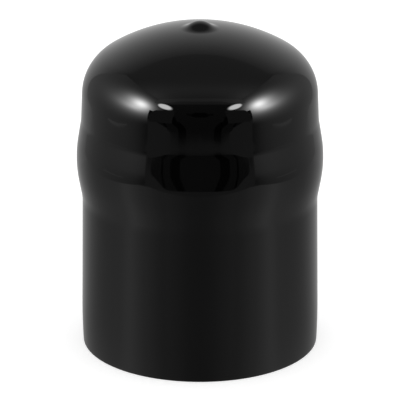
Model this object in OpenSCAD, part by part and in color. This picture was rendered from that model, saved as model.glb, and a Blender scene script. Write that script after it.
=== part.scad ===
// Hitch ball cover: one dip-moulded skin of glossy black vinyl. It is pushed down over a
// tow ball, springs round it in the bulge, and keeps grease in and rain off.
//
// The skin takes the form of the former it was dipped on. Its inside is a chain of
// tangent arcs and straight sides above a drafted skirt, and the outside runs one wall
// thickness away on the same centres, apart from the drip nub on the crown and the thin
// trimmed edge at the rim.
// The axis is Z, the rim stands on Z = 0, and every radius of the former is an inside one.

/* [Ball pocket] */
// Diameter of the tow ball that the cover is made for
ball_d = 58.7; // [48:0.1:70]
// Gap all round between the ball and its pocket
ball_gap = 0.05; // [0:0.01:0.5]
// Height of the ball's centre above the rim
ball_z = 49.6; // [35:0.1:80]
// Gap between the top of the ball and the inside of the crown
head_room = 3; // [1:0.1:8]
// Slope of the bulge's upper flank, a short cone that touches the pocket, in degrees
upper_flank = 9.5; // [7:0.1:14]
// Slope of its lower flank, in degrees
lower_flank = 10.5; // [7:0.1:14]

/* [Wall] */
// Thickness of the skin
wall = 2; // [1:0.1:4]
// Amount by which the skin is thinner at the rim, where the dip began
rim_thinning = 0.35; // [0.05:0.05:0.8]
// Height above the rim at which the skin has its full thickness
rim_taper_h = 10.5; // [3:0.1:25]
// Radius of the two trimmed edges of the rim
rim_edge_r = 0.25; // [0.1:0.05:0.5]

/* [Skirt] */
// How far the open mouth is drawn in from the pocket, on the radius
mouth_draw_in = 0.8; // [0.3:0.05:2]
// Draft of the skirt, which narrows upwards from the mouth, in degrees
skirt_draft = 0.8; // [0.1:0.1:2]
// Radius of the hollow blend from the skirt to the lower flank
skirt_blend_r = 15; // [4:0.1:30]

/* [Crown] */
// How far the crown's side, carried down to the ball's centre, is drawn in from the pocket
crown_draw_in = 0.8; // [0.5:0.05:2]
// Draft of the crown's side, which narrows upwards, in degrees
crown_draft = 2.5; // [0.5:0.1:5]
// Radius of the hollow blend from the crown's side to the upper flank
crown_blend_r = 13.5; // [4:0.1:25]
// Radius of the shallow dome on top
crown_r = 43.4; // [36:0.1:70]
// Radius of the shoulder between the dome and the side
shoulder_r = 10.6; // [5:0.1:14]

/* [Drip nub] */
// Height of the nub above the crown
nub_h = 1.5; // [0.5:0.1:6]
// Radius of the nub's round tip
nub_tip_r = 4.6; // [2:0.1:10]
// Radius of the hollow at the nub's root
nub_root_r = 5.5; // [1:0.1:12]

/* [Smoothness] */
// Largest gap between an arc and its chords
chord_gap = 0.004; // [0.002:0.001:0.02]

/* [Hidden] */
turn_steps = 180;

pocket_r = ball_d / 2 + ball_gap;
mouth_r = pocket_r - mouth_draw_in;
side_r = pocket_r - crown_draw_in;
pocket_c = [0, ball_z];
apex_z = ball_z + ball_d / 2 + head_room;

// Directions square to the four straight sides, from the crown down to the skirt.
side_out = [cos(crown_draft), sin(crown_draft)];
upper_out = [cos(upper_flank), sin(upper_flank)];
lower_out = [cos(lower_flank), -sin(lower_flank)];
skirt_out = [cos(skirt_draft), sin(skirt_draft)];

// Point at one distance along one direction and at another along a second one.
function meeting(out_1, reach_1, out_2, reach_2) =
    [reach_1 * out_2.y - reach_2 * out_1.y, reach_2 * out_1.x - reach_1 * out_2.x]
        / (out_1.x * out_2.y - out_1.y * out_2.x);

// The shoulder touches the dome, on the line through their centres, and the crown's side.
crown_c = [0, apex_z - crown_r];
shoulder_c = let (
    across = ([side_r, ball_z] - crown_c) * side_out - shoulder_r,
    along = sqrt(pow(crown_r - shoulder_r, 2) - across * across)
) crown_c + across * side_out + along * [-side_out.y, side_out.x];

// Each blend touches a side and a flank, and each flank touches the pocket.
crown_blend_c = meeting(
    side_out, [side_r, ball_z] * side_out + crown_blend_r,
    upper_out, pocket_c * upper_out + pocket_r + crown_blend_r
);
skirt_blend_c = meeting(
    skirt_out, [mouth_r, 0] * skirt_out + skirt_blend_r,
    lower_out, pocket_c * lower_out + pocket_r + skirt_blend_r
);

// The rim's long outside curve leaves the skirt's side smoothly and ends one thinning
// further in than that side would.
skin_foot = [mouth_r + wall / cos(skirt_draft), 0];
rim_curve_top = skin_foot + rim_taper_h * [-tan(skirt_draft), 1];
rim_curve_r = pow(norm(rim_curve_top - skin_foot + [rim_thinning, 0]), 2)
    / (2 * rim_thinning * cos(skirt_draft));
rim_curve_c = rim_curve_top - rim_curve_r * skirt_out;
outer_edge_c = let (dz = rim_curve_c.y - rim_edge_r)
    [rim_curve_c.x + sqrt(pow(rim_curve_r - rim_edge_r, 2) - dz * dz), rim_edge_r];
inner_edge_c = [mouth_r + rim_edge_r * (1 - sin(skirt_draft)) / cos(skirt_draft), rim_edge_r];

// The nub's root touches the nub's tip and the outside of the dome.
dome_r = crown_r + wall;
nub_c = [0, apex_z + wall + nub_h - nub_tip_r];
root_c = let (
    gap = nub_c.y - crown_c.y,
    reach = dome_r + nub_root_r,
    rise = (pow(reach, 2) - pow(nub_tip_r + nub_root_r, 2) + gap * gap) / (2 * gap)
) [sqrt(reach * reach - rise * rise), crown_c.y + rise];

// Direction from one point to another, in degrees from +X.
function heading(from, to) = atan2(to.y - from.y, to.x - from.x);

// Points along an arc, close enough together to keep to the chord gap.
function arc(centre, r, from, to) =
    let (n = ceil(abs(to - from) / (2 * acos(1 - chord_gap / r))))
    [for (i = [0:n]) let (a = from + (to - from) * i / n) centre + r * [cos(a), sin(a)]];

// One point where two arcs meet, and not one for each.
function joined(points) =
    [for (i = [0:len(points) - 1])
        if (i == 0 || norm(points[i] - points[i - 1]) > chord_gap / 4) points[i]];

// The former's outline from the dome down to the skirt, moved outwards by an offset. The
// straight sides and flanks are the gaps between one arc's end and the next one's start.
function former_outline(offset, dome_start) =
    let (dome_end = heading(crown_c, shoulder_c))
    concat(
        arc(crown_c, crown_r + offset, dome_start, dome_end),
        arc(shoulder_c, shoulder_r + offset, dome_end, crown_draft),
        arc(crown_blend_c, crown_blend_r - offset, 180 + crown_draft, 180 + upper_flank),
        arc(pocket_c, pocket_r + offset, upper_flank, -lower_flank),
        arc(skirt_blend_c, skirt_blend_r - offset, 180 - lower_flank, 180 + skirt_draft)
    );

// The round tip and hollow root of the nub.
function nub_outline() =
    let (tip_end = heading(nub_c, root_c))
    concat(
        arc(nub_c, nub_tip_r, 90, tip_end),
        arc(root_c, nub_root_r, 180 + tip_end, 180 + heading(crown_c, root_c))
    );

// The outside curve of the rim, its trimmed end and its two small edge radii.
function rim_outline() =
    let (curve_end = heading(rim_curve_c, outer_edge_c))
    concat(
        arc(rim_curve_c, rim_curve_r, skirt_draft, curve_end),
        arc(outer_edge_c, rim_edge_r, curve_end, -90),
        arc(inner_edge_c, rim_edge_r, 270, 180 + skirt_draft)
    );

function reversed(points) = [for (i = [len(points) - 1:-1:0]) points[i]];

// Half of the cut through the skin: down the outside, round the rim and up the inside.
module skin_section() {
    outside = former_outline(wall, heading(crown_c, root_c));
    inside = former_outline(0, 90);
    polygon(joined(concat(nub_outline(), outside, rim_outline(), reversed(inside))));
}

module ball_cover() {
    color("#101011")
        rotate_extrude($fn = turn_steps)
            skin_section();
}

ball_cover();
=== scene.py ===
import math

import bpy
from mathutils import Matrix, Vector


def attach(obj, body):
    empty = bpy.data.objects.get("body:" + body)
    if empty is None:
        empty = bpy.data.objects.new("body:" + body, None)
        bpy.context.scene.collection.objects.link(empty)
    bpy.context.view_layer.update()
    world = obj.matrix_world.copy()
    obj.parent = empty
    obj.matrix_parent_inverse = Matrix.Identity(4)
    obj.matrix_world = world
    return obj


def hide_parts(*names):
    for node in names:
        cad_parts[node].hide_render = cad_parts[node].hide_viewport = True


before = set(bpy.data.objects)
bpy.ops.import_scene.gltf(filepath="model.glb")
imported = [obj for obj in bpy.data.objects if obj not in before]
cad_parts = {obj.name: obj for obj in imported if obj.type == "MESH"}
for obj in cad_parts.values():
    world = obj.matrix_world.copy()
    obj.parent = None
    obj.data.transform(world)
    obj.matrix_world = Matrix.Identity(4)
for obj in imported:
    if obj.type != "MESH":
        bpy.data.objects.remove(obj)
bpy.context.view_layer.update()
mm = 0.001

# Skin of the cover. The real one is a single skin of black vinyl: a steel former is dipped
# in the liquid, baked, and the cover is stripped off it. The former is a chain of arcs that
# touch, so half of the cut through the skin is drawn arc by arc and then turned.
ball_r = 29.35 * mm
ball_gap = 0.05 * mm
ball_z = 49.6 * mm
head_room = 3 * mm
wall = 2 * mm
mouth_draw_in = 0.8 * mm
skirt_draft = 0.8
skirt_blend_r = 15 * mm
crown_draw_in = 0.8 * mm
crown_draft = 2.5
crown_blend_r = 13.5 * mm
upper_flank = 9.5
lower_flank = 10.5
crown_r = 43.4 * mm
shoulder_r = 10.6 * mm
nub_h = 1.5 * mm
nub_tip_r = 4.6 * mm
nub_root_r = 5.5 * mm
rim_thinning = 0.35 * mm
rim_taper_h = 10.5 * mm
rim_edge_r = 0.25 * mm
turn_steps = 288

pocket_r = ball_r + ball_gap
mouth_r = pocket_r - mouth_draw_in
side_r = pocket_r - crown_draw_in
apex_z = ball_z + ball_r + head_room



def slope(degrees):
    """Direction square to a side of the section that leans in by so many degrees."""
    return Vector((math.cos(math.radians(degrees)), math.sin(math.radians(degrees))))


def meeting(out_1, reach_1, out_2, reach_2):
    """Point at one distance along one direction and at another along a second one."""
    return Vector((
        reach_1 * out_2.y - reach_2 * out_1.y, reach_2 * out_1.x - reach_1 * out_2.x
    )) / (out_1.x * out_2.y - out_1.y * out_2.x)


# Each centre is (distance from the axis, height), where its arc touches both neighbours.
side_out, upper_out = slope(crown_draft), slope(upper_flank)
lower_out, skirt_out = slope(-lower_flank), slope(skirt_draft)
pocket_c = Vector((0, ball_z))
crown_c = Vector((0, apex_z - crown_r))
across = (Vector((side_r, ball_z)) - crown_c).dot(side_out) - shoulder_r
along = math.sqrt((crown_r - shoulder_r) ** 2 - across**2)
shoulder_c = crown_c + across * side_out + along * side_out.orthogonal()
crown_blend_c = meeting(
    side_out, Vector((side_r, ball_z)).dot(side_out) + crown_blend_r,
    upper_out, pocket_c.dot(upper_out) + pocket_r + crown_blend_r,
)
skirt_blend_c = meeting(
    skirt_out, Vector((mouth_r, 0)).dot(skirt_out) + skirt_blend_r,
    lower_out, pocket_c.dot(lower_out) + pocket_r + skirt_blend_r,
)
draft = math.radians(skirt_draft)
skin_foot = Vector((mouth_r + wall / math.cos(draft), 0))
rim_curve_top = skin_foot + rim_taper_h * Vector((-math.tan(draft), 1))
rim_curve_r = (rim_curve_top - skin_foot + Vector((rim_thinning, 0))).length_squared / (2 * rim_thinning * math.cos(draft))
rim_curve_c = rim_curve_top - rim_curve_r * skirt_out
outer_edge_c = Vector((
    rim_curve_c.x + math.sqrt((rim_curve_r - rim_edge_r) ** 2 - (rim_curve_c.y - rim_edge_r) ** 2),
    rim_edge_r,
))
inner_edge_c = Vector((mouth_r + rim_edge_r * (1 - math.sin(draft)) / math.cos(draft), rim_edge_r))
nub_c = Vector((0, apex_z + wall + nub_h - nub_tip_r))
nub_gap = nub_c.y - crown_c.y
root_reach = crown_r + wall + nub_root_r
root_rise = (root_reach**2 - (nub_tip_r + nub_root_r) ** 2 + nub_gap**2) / (2 * nub_gap)
root_c = Vector((math.sqrt(root_reach**2 - root_rise**2), crown_c.y + root_rise))


def heading(start, end):
    """Direction between two points of the section, in degrees above the outward way."""
    return math.degrees(math.atan2(end.y - start.y, end.x - start.x))


def turn_about(centre, degrees, steps):
    """Carry the section on from its last point, down and outwards where degrees is positive."""
    bpy.ops.mesh.spin(
        steps=steps, angle=math.radians(degrees), center=(centre.x, 0, centre.y), axis=(0, -1, 0)
    )


def run_along(start, end, steps):
    """Carry the section on in a straight line, by as much as lies between two of its points."""
    step = (end - start) / steps
    for _ in range(steps):
        bpy.ops.mesh.extrude_region_move(TRANSFORM_OT_translate={"value": (step.x, 0, step.y)})


nub_end = heading(nub_c, root_c)
crown_start = heading(crown_c, root_c)
crown_end = heading(crown_c, shoulder_c)
rim_curve_end = heading(rim_curve_c, outer_edge_c)

bpy.ops.object.select_all(action="DESELECT")
bpy.ops.mesh.primitive_plane_add(size=1 * mm, location=(0, 0, nub_c.y + nub_tip_r))
cover = bpy.context.object
cover.name = "vinyl_skin"
bpy.ops.object.mode_set(mode="EDIT")
bpy.ops.mesh.merge(type="CENTER")
bpy.ops.mesh.select_all(action="SELECT")

# Down the outside, round the rim, and up the inside to the middle of the crown.
skin_r = pocket_r + wall
outer_blend_r, outer_skirt_blend_r = crown_blend_r - wall, skirt_blend_r - wall
turn_about(nub_c, 90 - nub_end, 16)
turn_about(root_c, nub_end - crown_start, 14)
turn_about(crown_c, crown_start - crown_end, 44)
turn_about(shoulder_c, crown_end - crown_draft, 26)
run_along(shoulder_c + (shoulder_r + wall) * side_out, crown_blend_c - outer_blend_r * side_out, 6)
turn_about(crown_blend_c, crown_draft - upper_flank, 10)
run_along(crown_blend_c - outer_blend_r * upper_out, pocket_c + skin_r * upper_out, 4)
turn_about(pocket_c, upper_flank + lower_flank, 24)
run_along(pocket_c + skin_r * lower_out, skirt_blend_c - outer_skirt_blend_r * lower_out, 3)
turn_about(skirt_blend_c, -lower_flank - skirt_draft, 14)
run_along(skirt_blend_c - outer_skirt_blend_r * skirt_out, rim_curve_top, 20)
turn_about(rim_curve_c, skirt_draft - rim_curve_end, 10)
turn_about(outer_edge_c, 90 + rim_curve_end, 5)
run_along(outer_edge_c, inner_edge_c, 2)
turn_about(inner_edge_c, 90 - skirt_draft, 5)
run_along(inner_edge_c - rim_edge_r * skirt_out, skirt_blend_c - skirt_blend_r * skirt_out, 20)
turn_about(skirt_blend_c, skirt_draft + lower_flank, 10)
run_along(skirt_blend_c - skirt_blend_r * lower_out, pocket_c + pocket_r * lower_out, 3)
turn_about(pocket_c, -lower_flank - upper_flank, 18)
run_along(pocket_c + pocket_r * upper_out, crown_blend_c - crown_blend_r * upper_out, 4)
turn_about(crown_blend_c, upper_flank - crown_draft, 8)
run_along(crown_blend_c - crown_blend_r * side_out, shoulder_c + shoulder_r * side_out, 6)
turn_about(shoulder_c, crown_draft - crown_end, 16)
turn_about(crown_c, crown_end - 90, 34)

bpy.ops.mesh.select_all(action="SELECT")
bpy.ops.mesh.spin(steps=turn_steps, angle=math.tau, center=(0, 0, 0), axis=(0, 0, 1))
bpy.ops.mesh.select_all(action="SELECT")
bpy.ops.mesh.remove_doubles(threshold=0.002 * mm)
bpy.ops.mesh.normals_make_consistent(inside=False)
bpy.ops.object.mode_set(mode="OBJECT")
bpy.ops.object.transform_apply(location=True, rotation=True, scale=True)
bpy.ops.object.shade_smooth_by_angle(angle=math.radians(40))

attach(cover, "root")
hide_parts("ball_cover")

# What the dip leaves on both faces: long waves where the vinyl ran down before it set, a
# fine orange peel on them, and broad patches that are a little duller than the rest.
marks = bpy.data.node_groups.new("dip_marks", "ShaderNodeTree")
for output in ("Height", "Patches"):
    marks.interface.new_socket(output, in_out="OUTPUT", socket_type="NodeSocketFloat")
nodes, links = marks.nodes, marks.links
place = nodes.new("ShaderNodeTexCoord")
run_down = nodes.new("ShaderNodeMapping")
run_down.inputs["Scale"].default_value = (1, 1, 0.4)
links.new(place.outputs["Object"], run_down.inputs["Vector"])
waves = nodes.new("ShaderNodeTexNoise")
waves.inputs["Scale"].default_value = 90
waves.inputs["Detail"].default_value = 1.5
links.new(run_down.outputs[0], waves.inputs["Vector"])
peel = nodes.new("ShaderNodeTexNoise")
peel.inputs["Scale"].default_value = 800
peel.inputs["Detail"].default_value = 1
links.new(place.outputs["Object"], peel.inputs["Vector"])
height = nodes.new("ShaderNodeMath")
height.operation = "MULTIPLY_ADD"
height.inputs[1].default_value = 0.035
links.new(peel.outputs["Fac"], height.inputs[0])
links.new(waves.outputs["Fac"], height.inputs[2])
broad = nodes.new("ShaderNodeTexNoise")
broad.inputs["Scale"].default_value = 38
broad.inputs["Detail"].default_value = 5
links.new(place.outputs["Object"], broad.inputs["Vector"])
patches = nodes.new("ShaderNodeMapRange")
patches.interpolation_type = "SMOOTHSTEP"
patches.inputs["From Min"].default_value = 0.36
patches.inputs["From Max"].default_value = 0.68
links.new(broad.outputs["Fac"], patches.inputs["Value"])
left_by_dip = nodes.new("NodeGroupOutput")
links.new(height.outputs[0], left_by_dip.inputs["Height"])
links.new(patches.outputs[0], left_by_dip.inputs["Patches"])


def vinyl(name, deep, pale, clear, dull, relief):
    """Black vinyl between two greys and two roughnesses by its patches, with a relief in mm."""
    material = bpy.data.materials.new(name)
    material.use_nodes = True
    nodes, links = material.node_tree.nodes, material.node_tree.links
    face = nodes["Principled BSDF"]
    face.inputs["IOR"].default_value = 1.5
    dip = nodes.new("ShaderNodeGroup")
    dip.node_tree = marks
    tone = nodes.new("ShaderNodeMix")
    tone.data_type = "RGBA"
    tone.inputs["A"].default_value = (deep, deep, deep * 1.03, 1)
    tone.inputs["B"].default_value = (pale, pale, pale * 1.03, 1)
    links.new(dip.outputs["Patches"], tone.inputs["Factor"])
    links.new(tone.outputs["Result"], face.inputs["Base Color"])
    rough = nodes.new("ShaderNodeMapRange")
    rough.inputs["To Min"].default_value = clear
    rough.inputs["To Max"].default_value = dull
    links.new(dip.outputs["Patches"], rough.inputs["Value"])
    links.new(rough.outputs[0], face.inputs["Roughness"])
    bump = nodes.new("ShaderNodeBump")
    bump.inputs["Strength"].default_value = 1
    bump.inputs["Distance"].default_value = relief * mm
    links.new(dip.outputs["Height"], bump.inputs["Height"])
    links.new(bump.outputs["Normal"], face.inputs["Normal"])
    return material


gloss = vinyl("gloss_vinyl", 0.0006, 0.001, 0.03, 0.055, 0.006)
satin = vinyl("satin_vinyl", 0.009, 0.016, 0.34, 0.46, 0.012)

# The inside copies the turned steel of the former: fine rings round the axis.
nodes, links = satin.node_tree.nodes, satin.node_tree.links
place = nodes.new("ShaderNodeTexCoord")
split = nodes.new("ShaderNodeSeparateXYZ")
links.new(place.outputs["Object"], split.inputs[0])
level_only = nodes.new("ShaderNodeVectorMath")
level_only.operation = "MULTIPLY"
level_only.inputs[1].default_value = (1, 1, 0)
links.new(place.outputs["Object"], level_only.inputs[0])
off_axis = nodes.new("ShaderNodeVectorMath")
off_axis.operation = "LENGTH"
links.new(level_only.outputs[0], off_axis.inputs[0])
down_side = nodes.new("ShaderNodeCombineXYZ")
links.new(off_axis.outputs["Value"], down_side.inputs["X"])
links.new(split.outputs["Z"], down_side.inputs["Z"])
rings = nodes.new("ShaderNodeTexNoise")
rings.inputs["Scale"].default_value = 2400
rings.inputs["Detail"].default_value = 3
links.new(down_side.outputs[0], rings.inputs["Vector"])
turned = nodes.new("ShaderNodeBump")
turned.inputs["Strength"].default_value = 1
turned.inputs["Distance"].default_value = 0.008 * mm
links.new(rings.outputs["Fac"], turned.inputs["Height"])
links.new(turned.outputs["Normal"], nodes["Bump"].inputs["Normal"])

cover.data.materials.clear()
cover.data.materials.append(gloss)
cover.data.materials.append(satin)
for face in cover.data.polygons:
    face.material_index = int(face.normal.dot(face.center - Vector((0, 0, ball_z))) < 0)

# Floor. A plain pale sheet, which is white to the eye and keeps the soft shadow at the
# cover's foot. It ends in front where the open side of the light tent begins.
floor_wide, floor_front, floor_back = 6, -0.178, 3
bpy.ops.mesh.primitive_plane_add(size=1, location=(0, (floor_front + floor_back) / 2, 0))
floor = bpy.context.object
floor.scale = (floor_wide, floor_back - floor_front, 1)
bpy.ops.object.transform_apply(location=True, rotation=True, scale=True)
floor.name = "floor"
pale = bpy.data.materials.new("pale_floor")
pale.use_nodes = True
nodes, links = pale.node_tree.nodes, pale.node_tree.links
nodes.clear()
path = nodes.new("ShaderNodeLightPath")
seen = nodes.new("ShaderNodeMath")
seen.operation = "MAXIMUM"
links.new(path.outputs["Is Camera Ray"], seen.inputs[0])
links.new(path.outputs["Is Glossy Ray"], seen.inputs[1])
seen_through = nodes.new("ShaderNodeMath")
seen_through.operation = "MAXIMUM"
links.new(seen.outputs[0], seen_through.inputs[0])
links.new(path.outputs["Is Transmission Ray"], seen_through.inputs[1])
level = nodes.new("ShaderNodeMath")
level.operation = "MULTIPLY"
level.inputs[1].default_value = 0.45
links.new(seen_through.outputs[0], level.inputs[0])
glow = nodes.new("ShaderNodeEmission")
links.new(level.outputs[0], glow.inputs["Strength"])
matt = nodes.new("ShaderNodeBsdfDiffuse")
matt.inputs["Color"].default_value = (0.8, 0.8, 0.8, 1)
both = nodes.new("ShaderNodeAddShader")
links.new(glow.outputs[0], both.inputs[0])
links.new(matt.outputs[0], both.inputs[1])
out = nodes.new("ShaderNodeOutputMaterial")
links.new(both.outputs[0], out.inputs["Surface"])
floor.data.materials.append(pale)

# Light tent, side sheets. White fabric with a lamp behind each, bright where the lamp is
# near. Like all of the tent, they show only in the gloss of the vinyl.
tent_x, tent_back, tent_front, tent_top = 200, 256, -178, 300
side_front = -280
wide = 1e6


def glowing(name, plain, spots):
    """Fabric that shines by a plain level and some soft spots: centre and spread in mm, power, peak."""
    fabric = bpy.data.materials.new(name)
    fabric.use_nodes = True
    nodes, links = fabric.node_tree.nodes, fabric.node_tree.links
    nodes.clear()
    place = nodes.new("ShaderNodeTexCoord")
    shine = nodes.new("ShaderNodeEmission")
    shine.inputs["Strength"].default_value = plain
    out = nodes.new("ShaderNodeOutputMaterial")
    links.new(shine.outputs[0], out.inputs["Surface"])
    total = None
    for centre, spread, power, peak in spots:
        reach = nodes.new("ShaderNodeMapping")
        reach.vector_type = "TEXTURE"
        reach.inputs["Location"].default_value = Vector(centre) * mm
        reach.inputs["Scale"].default_value = Vector(spread) * mm
        links.new(place.outputs["Object"], reach.inputs["Vector"])
        square = nodes.new("ShaderNodeVectorMath")
        square.operation = "DOT_PRODUCT"
        links.new(reach.outputs[0], square.inputs[0])
        links.new(reach.outputs[0], square.inputs[1])
        fall = nodes.new("ShaderNodeMath")
        fall.inputs[1].default_value = 1
        links.new(square.outputs["Value"], fall.inputs[0])
        curve = nodes.new("ShaderNodeMath")
        curve.operation = "POWER"
        curve.inputs[1].default_value = -power
        links.new(fall.outputs[0], curve.inputs[0])
        spot = nodes.new("ShaderNodeMath")
        spot.operation = "MULTIPLY_ADD"
        spot.inputs[1].default_value = peak
        spot.inputs[2].default_value = plain
        links.new(curve.outputs[0], spot.inputs[0])
        if total:
            links.new(total.outputs[0], spot.inputs[2])
        links.new(spot.outputs[0], shine.inputs["Strength"])
        total = spot
    return fabric


def hang(name, corners, fabric, across=0):
    """A sheet of the tent, seen by the gloss alone: flat from its corners, or a line drawn across, in mm."""
    bpy.ops.object.select_all(action="DESELECT")
    bpy.ops.mesh.primitive_plane_add(size=1 * mm, location=Vector(corners[0]) * mm)
    sheet = bpy.context.object
    sheet.name = name
    bpy.ops.object.mode_set(mode="EDIT")
    bpy.ops.mesh.merge(type="CENTER")
    bpy.ops.mesh.select_all(action="SELECT")
    for corner, next_corner in zip(corners, corners[1:]):
        step = (Vector(next_corner) - Vector(corner)) * mm
        bpy.ops.mesh.extrude_region_move(TRANSFORM_OT_translate={"value": step})
    bpy.ops.mesh.select_all(action="SELECT")
    if across:
        bpy.ops.mesh.extrude_region_move(TRANSFORM_OT_translate={"value": (across * mm, 0, 0)})
    else:
        bpy.ops.mesh.edge_face_add()
    bpy.ops.object.mode_set(mode="OBJECT")
    bpy.ops.object.transform_apply(location=True, rotation=True, scale=True)
    sheet.visible_camera = sheet.visible_diffuse = sheet.visible_shadow = False
    sheet.visible_transmission = False
    sheet.data.materials.append(fabric)


for name, x in (("left", -tent_x), ("right", tent_x)):
    hang(
        f"tent_{name}",
        [
            (x, tent_front, 0), (x, tent_back, 0), (x, tent_back, tent_top), (x, side_front, tent_top),
            (x, side_front, 150), (x, tent_front, 150),
        ],
        glowing(f"lit_fabric_{name}", 0.22, [
            ((x, -120, 168), (wide, 81, 61), 3, 21.5),
            ((x, -91, 125), (wide, 60, 25), 1.6, 4.9),
            ((x, 150, 150), (wide, 200, wide), 2, 0.07),
            ((x, -180, 15), (wide, 85, 60), 2, -0.2),
        ]),
    )

# A thin strip low on each side sheet that shines brighter than the fabric round it. Like the rest of the tent it
# shows only in the gloss, where it paints a thin bright line.
bright_strip = glowing("bright_strip", 0.52, [])
for name, x in (("left", 1 - tent_x), ("right", tent_x - 1)):
    hang(f"seam_{name}", [(x, -75, 16.4), (x, 10, 16.4), (x, 10, 17.6), (x, -75, 17.6)], bright_strip)

# Light tent, back and top. White fabric lit only by what the side sheets let through. The
# back is one sheet that sweeps up from the bottom and leans forward to a seam at the top.
sweep = [
    (120, 0.2), (155, 2), (180, 8), (193, 15), (204, 28), (210, 42), (212, 58), (209, 75), (200, 98), (186, 128),
    (169, 169), (155, 197), (144, 223), (137, 260), (133, 300),
]
hang(
    "backdrop", [(-tent_x, y, z) for y, z in sweep],
    glowing("fabric_back", 0.12, [((0, 200, 100), (800, wide, 397), 8, 0.64)]), across=2 * tent_x,
)
hang(
    "tent_top",
    [(-tent_x, side_front, tent_top), (tent_x, side_front, tent_top), (tent_x, tent_back, tent_top), (-tent_x, tent_back, tent_top)],
    glowing("fabric_top", 0.085, [
        ((0, -80, tent_top), (wide, 90, wide), 1, 0.14),
        ((0, 250, tent_top), (wide, 120, wide), 2, 0.17),
        ((-190, -140, tent_top), (64, 79, wide), 1, 0.28),
        ((190, -140, tent_top), (64, 79, wide), 1, 0.28),
    ]),
)

# Light tent, bottom. The sheet that the cover stands on, brightest along the two ways in
# which the lamps shine across it.
bottom = bpy.data.materials.new("fabric_bottom")
bottom.use_nodes = True
nodes, links = bottom.node_tree.nodes, bottom.node_tree.links
nodes.clear()
place = nodes.new("ShaderNodeTexCoord")
split = nodes.new("ShaderNodeSeparateXYZ")
links.new(place.outputs["Object"], split.inputs[0])
sideways = nodes.new("ShaderNodeMath")
sideways.operation = "ABSOLUTE"
links.new(split.outputs["X"], sideways.inputs[0])
forward = nodes.new("ShaderNodeMath")
forward.operation = "MULTIPLY_ADD"
forward.inputs[1].default_value = -1
forward.inputs[2].default_value = -18 * mm
links.new(split.outputs["Y"], forward.inputs[0])
turn = nodes.new("ShaderNodeMath")
turn.operation = "ARCTAN2"
links.new(sideways.outputs[0], turn.inputs[0])
links.new(forward.outputs[0], turn.inputs[1])
share = nodes.new("ShaderNodeMath")
share.operation = "DIVIDE"
share.inputs[1].default_value = math.pi
links.new(turn.outputs[0], share.inputs[0])
ramp = nodes.new("ShaderNodeValToRGB")
ramp.color_ramp.interpolation = "CARDINAL"
for degrees, bright in (
    (15, 0.165), (30, 0.22), (38, 0.235), (45, 0.28), (51, 0.33), (58, 0.385), (65, 0.47), (72, 0.515),
    (80, 0.42), (88, 0.36), (96, 0.325), (105, 0.3), (116, 0.31), (128, 0.37), (150, 0.5),
):
    ramp.color_ramp.elements.new(degrees / 180).color = (bright, bright, bright, 1)
ramp.color_ramp.elements[0].color = (0.14, 0.14, 0.14, 1)
ramp.color_ramp.elements[-1].color = (0.65, 0.65, 0.65, 1)
links.new(share.outputs[0], ramp.inputs[0])
shine = nodes.new("ShaderNodeEmission")
links.new(ramp.outputs["Color"], shine.inputs["Color"])
out = nodes.new("ShaderNodeOutputMaterial")
links.new(shine.outputs[0], out.inputs["Surface"])
hang(
    "tent_bottom",
    [(-tent_x, tent_front, 0.1), (tent_x, tent_front, 0.1), (tent_x, tent_back, 0.1), (-tent_x, tent_back, 0.1)],
    bottom,
)

# Light tent, open front. Fabric above the arch of the opening, cards hung in it, and the
# dim room beyond, which is so far off that it is placed by direction alone.
far = -5000


def beyond(directions, gap):
    """Corners on the far plane from their directions in degrees: sideways and upwards."""
    reach = -30 - far
    return [
        (reach * math.tan(math.radians(aside)), far + gap,
         57 + reach * math.tan(math.radians(up)) / math.cos(math.radians(aside)))
        for aside, up in directions
    ]


def mirrored(corners):
    """An outline across the middle from its right half, whose first corner lies on the middle."""
    return [(-x, y, z) for x, y, z in reversed(corners[1:])] + corners


hang(
    "room", [(-8000, far, -1800), (8000, far, -1800), (8000, far, 8000), (-8000, far, 8000)],
    glowing("dim_room", 0.04, [((0, far, 8000), (wide, wide, 3000), 1, 0.06)]),
)
horizon = [
    (0, -13.97), (8, -14.02), (14, -14.08), (24, -14.1), (28, -14.05), (31, -13.5), (34, -11.8), (37, -8.8),
    (41, -4.8), (44, -3), (46, -2.2), (50, -1.2), (57, -1),
]
ground = mirrored(beyond(horizon, 10))
hang(
    "ground", [(8000, far + 10, -4000), (-8000, far + 10, -4000)] + ground,
    glowing("dim_ground", 0.16, [((0, far, -1200), (1800, wide, wide), 1, -0.04)]),
)
arch = [(0, 245), (75, 250), (125, 225), (150, 232), (tent_x, 240), (tent_x, tent_top)]
hang(
    "arch", mirrored([(x, tent_front, z) for x, z in arch]),
    glowing("fabric_arch", 0.22, [
        ((-180, tent_front, 250), (60, wide, 80), 1, 0.3), ((180, tent_front, 250), (60, wide, 80), 1, 0.3),
    ]),
)
side_card = [
    (77, 60), (100, 55), (130, 53.5), (150, 51.5), (165, 50), (177, 48), (187, 47), (191, 70), (190, 95), (184, 120),
    (174, 137), (160, 149), (77, 147),
]
inner_card = [(60, 58), (80, 58), (79, 80), (78, 104), (72, 104), (66, 80)]
low_bar = [(13, -14.3), (20, -14.3), (24, -8), (26, -4), (27.5, -0.9), (27.5, 1), (19, 1), (18.5, -1), (16, -6)]
thin_bar = [(31, -12), (33, -12), (36, -1), (36, 1), (34, 1), (34, -2)]
shade = glowing("dim_card", 0.1, [])
dim_corner = glowing("dim_corner", 0.16, [])
dark = glowing("unlit", 0.001, [])
for name, x_sign in (("left", -1), ("right", 1)):
    for part, corners, fabric in (
        ("side_card", [(x, tent_front + 1, z) for x, z in side_card], shade),
        ("inner_card", [(x, tent_front + 3, z) for x, z in inner_card], dark),
        ("low_bar", beyond(low_bar, 5), dark),
        ("corner", [(tent_x, -145, 0.3), (tent_x, tent_front, 0.3), (168, tent_front, 0.3)], dim_corner),
        ("thin_bar", beyond(thin_bar, 5), dark),
    ):
        hang(f"{part}_{name}", [(x_sign * x, y, z) for x, y, z in corners], fabric)
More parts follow.
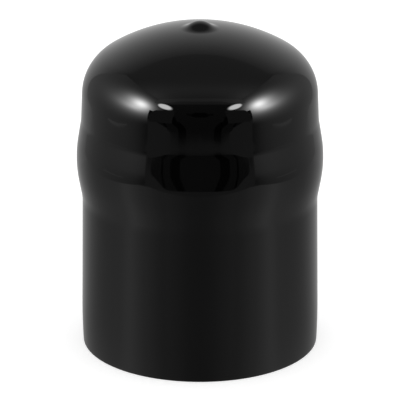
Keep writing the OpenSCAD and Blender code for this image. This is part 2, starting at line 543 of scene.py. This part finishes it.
dark_card = [(0, 103), (13, 103), (22, 108), (20, 128), (13, 133), (0, 133)]
dim_card = [(0, 103), (38, 116), (38, 128), (0, 122)]
for name, outline, gap, fabric in (
    ("dim_card", dim_card, 4, glowing("barely_lit", 0.02, [])), ("dark_card", dark_card, 5, dark),
):
    half = [(x, tent_front + gap, z) for x, z in outline]
    hang(name, half + [(-x, y, z) for x, y, z in reversed(half) if x], fabric)

# Lamp strips. Two bright slanted patches at the ends of the arch.
for name, x_sign in (("left", -1), ("right", 1)):
    strip = glowing(f"lamp_strip_{name}", 0, [((x_sign * 127, tent_front, 186), (50, 100, 19), 1, 1)])
    nodes, links = strip.node_tree.nodes, strip.node_tree.links
    reach = nodes["Mapping"]
    reach.inputs["Rotation"].default_value = (0, -x_sign * math.radians(40), 0)
    edge = nodes.new("ShaderNodeMapRange")
    edge.interpolation_type = "SMOOTHSTEP"
    edge.inputs["From Min"].default_value = 1.35
    edge.inputs["From Max"].default_value = 0.45
    links.new(nodes["Vector Math"].outputs["Value"], edge.inputs["Value"])
    power = nodes.new("ShaderNodeMath")
    power.operation = "MULTIPLY"
    power.inputs[1].default_value = 12
    links.new(edge.outputs[0], power.inputs[0])
    shine = nodes["Emission"]
    links.new(power.outputs[0], shine.inputs["Strength"])
    clear = nodes.new("ShaderNodeBsdfTransparent")
    both = nodes.new("ShaderNodeMixShader")
    links.new(edge.outputs[0], both.inputs[0])
    links.new(clear.outputs[0], both.inputs[1])
    links.new(shine.outputs[0], both.inputs[2])
    links.new(both.outputs[0], nodes["Material Output"].inputs["Surface"])
    shine.inputs["Strength"].default_value = 12
    hang(
        f"lamp_{name}",
        [(x_sign * x, tent_front + 2, z) for x, z in ((60, 130), (199, 130), (199, 250), (60, 250))], strip,
    )

# Daylight all round. White to the eye and in the gloss.
world = bpy.data.worlds.new("studio")
bpy.context.scene.world = world
world.use_nodes = True
world.node_tree.nodes["Background"].inputs["Color"].default_value = (1, 1, 1, 1)
world.node_tree.nodes["Background"].inputs["Strength"].default_value = 1

# Camera. A long lens 0.8 m away that looks down about 20 degrees.
down = math.radians(20.2)
aim = Vector((0, 0, 37.65 * mm))
bpy.ops.object.camera_add(
    location=aim + 0.8015 * Vector((0, -math.cos(down), math.sin(down))), rotation=(math.pi / 2 - down, 0, 0)
)
camera = bpy.context.object
camera.data.lens = 281.75
bpy.context.scene.camera = camera
bpy.context.scene.view_settings.view_transform = "Standard"
